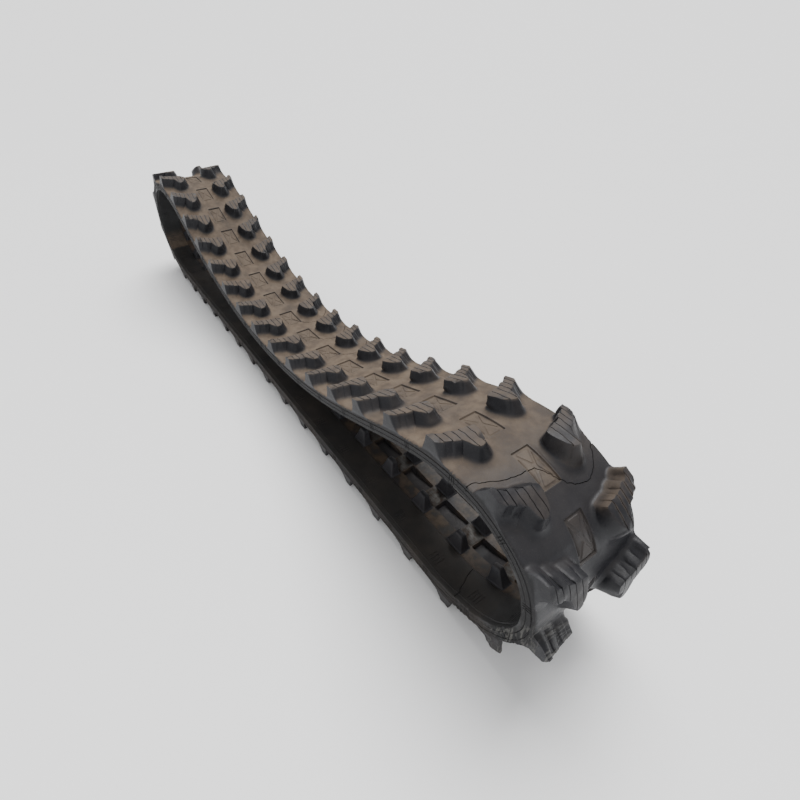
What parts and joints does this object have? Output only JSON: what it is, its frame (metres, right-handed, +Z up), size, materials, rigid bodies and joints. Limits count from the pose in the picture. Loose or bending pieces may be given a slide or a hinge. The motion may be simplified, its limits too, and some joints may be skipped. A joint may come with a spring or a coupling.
{
  "type": "rubber track",
  "caption": "Continuous rubber crawler track with staggered block lugs, steel cores, guide horns and drive windows, lying relaxed as a long sagging loop.",
  "frame": {"origin": "centre of the bounding box in X and Y, on the floor under the tread lugs of the flat lower run", "axes": "+X along the loop towards the smaller arch, +Y across the belt, +Z up"},
  "size_m": [1.2968, 0.15, 0.2635],
  "materials": {
    "rubber": "dusty matte black rubber, brown dirt in the corners",
    "steel": "dull mill-scaled steel"
  },
  "bodies": {
    "ground_run": {"ground_tread_plate": "rubber", "ground_steel_cores": "steel", "ground_left_roller_path": "rubber", "ground_left_cord_ply": "steel", "ground_left_guide_horns": "rubber", "ground_left_lugs": "rubber", "ground_right_roller_path": "rubber", "ground_right_cord_ply": "steel", "ground_right_guide_horns": "rubber", "ground_right_lugs": "rubber"},
    "links_14_15": {"link_14_rubber": "rubber", "link_14_steel": "steel", "link_15_rubber": "rubber", "link_15_steel": "steel"},
    "links_16_17": {"link_16_rubber": "rubber", "link_16_steel": "steel", "link_17_rubber": "rubber", "link_17_steel": "steel"},
    "links_18_19": {"link_18_rubber": "rubber", "link_18_steel": "steel", "link_19_rubber": "rubber", "link_19_steel": "steel"},
    "links_20_21": {"link_20_rubber": "rubber", "link_20_steel": "steel", "link_21_rubber": "rubber", "link_21_steel": "steel"},
    "links_22_23": {"link_22_rubber": "rubber", "link_22_steel": "steel", "link_23_rubber": "rubber", "link_23_steel": "steel"},
    "links_24_25": {"link_24_rubber": "rubber", "link_24_steel": "steel", "link_25_rubber": "rubber", "link_25_steel": "steel"},
    "link_26": {"link_26_rubber": "rubber", "link_26_steel": "steel"},
    "link_27": {"link_27_rubber": "rubber", "link_27_steel": "steel"},
    "links_28_29": {"link_28_rubber": "rubber", "link_28_steel": "steel", "link_29_rubber": "rubber", "link_29_steel": "steel"},
    "links_30_31": {"link_30_rubber": "rubber", "link_30_steel": "steel", "link_31_rubber": "rubber", "link_31_steel": "steel"},
    "links_32_33": {"link_32_rubber": "rubber", "link_32_steel": "steel", "link_33_rubber": "rubber", "link_33_steel": "steel"},
    "links_34_35": {"link_34_rubber": "rubber", "link_34_steel": "steel", "link_35_rubber": "rubber", "link_35_steel": "steel"},
    "links_36_37": {"link_36_rubber": "rubber", "link_36_steel": "steel", "link_37_rubber": "rubber", "link_37_steel": "steel"}
  },
  "joints": [
    {"name": "far_14", "type": "hinge", "parent": "ground_run", "child": "links_14_15", "pos_m": [-0.49483, 0, 0.028], "axis": [0, 1, 0], "range_deg": [-0.24, 2.01], "stiffness_Nm_per_rad": 60, "springref_deg": -8.49},
    {"name": "far_16", "type": "hinge", "parent": "links_14_15", "child": "links_16_17", "pos_m": [-0.61561, 0, 0.09724], "axis": [0, 1, 0], "range_deg": [-5.61, 1.38], "stiffness_Nm_per_rad": 60, "springref_deg": -15.7},
    {"name": "far_18", "type": "hinge", "parent": "links_16_17", "child": "links_18_19", "pos_m": [-0.57159, 0, 0.22256], "axis": [0, 1, 0], "range_deg": [-1.12, 0.42], "stiffness_Nm_per_rad": 60, "springref_deg": -13.66},
    {"name": "far_20", "type": "hinge", "parent": "links_18_19", "child": "links_20_21", "pos_m": [-0.4307, 0, 0.21846], "axis": [0, 1, 0], "range_deg": [-0.63, 2.1], "stiffness_Nm_per_rad": 60, "springref_deg": -8.12},
    {"name": "far_22", "type": "hinge", "parent": "links_20_21", "child": "links_22_23", "pos_m": [-0.29918, 0, 0.15984], "axis": [0, 1, 0], "range_deg": [-0.4, 1.01], "stiffness_Nm_per_rad": 60, "springref_deg": -4.24},
    {"name": "far_24", "type": "hinge", "parent": "links_22_23", "child": "links_24_25", "pos_m": [-0.16296, 0, 0.11357], "axis": [0, 1, 0], "range_deg": [-1.23, 0.44], "stiffness_Nm_per_rad": 60, "springref_deg": -1.57},
    {"name": "far_26", "type": "hinge", "parent": "links_24_25", "child": "link_26", "pos_m": [-0.02058, 0, 0.09316], "axis": [0, 1, 0], "range_deg": [-0.39, 1], "stiffness_Nm_per_rad": 60, "springref_deg": -0.18},
    {"name": "near_38", "type": "hinge", "parent": "ground_run", "child": "links_36_37", "pos_m": [0.51318, 0, 0.028], "axis": [0, -1, 0], "range_deg": [-0.49, 1.46], "stiffness_Nm_per_rad": 60, "springref_deg": -6.16},
    {"name": "near_36", "type": "hinge", "parent": "links_36_37", "child": "links_34_35", "pos_m": [0.61856, 0, 0.11471], "axis": [0, -1, 0], "range_deg": [-5.61, 1.38], "stiffness_Nm_per_rad": 60, "springref_deg": -11.45},
    {"name": "near_34", "type": "hinge", "parent": "links_34_35", "child": "links_32_33", "pos_m": [0.53558, 0, 0.21829], "axis": [0, -1, 0], "range_deg": [-1, 0.39], "stiffness_Nm_per_rad": 60, "springref_deg": -8.29},
    {"name": "near_32", "type": "hinge", "parent": "links_32_33", "child": "links_30_31", "pos_m": [0.39595, 0, 0.1893], "axis": [0, -1, 0], "range_deg": [-0.69, 2.39], "stiffness_Nm_per_rad": 60, "springref_deg": -4.16},
    {"name": "near_30", "type": "hinge", "parent": "links_30_31", "child": "links_28_29", "pos_m": [0.26278, 0, 0.13458], "axis": [0, -1, 0], "range_deg": [-0.39, 0.98], "stiffness_Nm_per_rad": 60, "springref_deg": -1.55},
    {"name": "near_28", "type": "hinge", "parent": "links_28_29", "child": "link_27", "pos_m": [0.12308, 0, 0.10033], "axis": [0, -1, 0], "range_deg": [-0.39, 0.99], "stiffness_Nm_per_rad": 60, "springref_deg": -0.18}
  ],
  "couplings": [
    {"joint": "far_16", "follows": "far_14", "ratio": -2.3845},
    {"joint": "far_18", "follows": "far_14", "ratio": -0.39701},
    {"joint": "far_20", "follows": "far_14", "ratio": 0.83062},
    {"joint": "far_22", "follows": "far_14", "ratio": 0.34616},
    {"joint": "far_24", "follows": "far_14", "ratio": -0.44332},
    {"joint": "far_26", "follows": "far_14", "ratio": 0.33993},
    {"joint": "near_38", "follows": "far_14", "ratio": 0.54735},
    {"joint": "near_36", "follows": "far_14", "ratio": -2.3844},
    {"joint": "near_34", "follows": "far_14", "ratio": -0.33951},
    {"joint": "near_32", "follows": "far_14", "ratio": 0.95681},
    {"joint": "near_30", "follows": "far_14", "ratio": 0.33439},
    {"joint": "near_28", "follows": "far_14", "ratio": 0.33864}
  ]
}
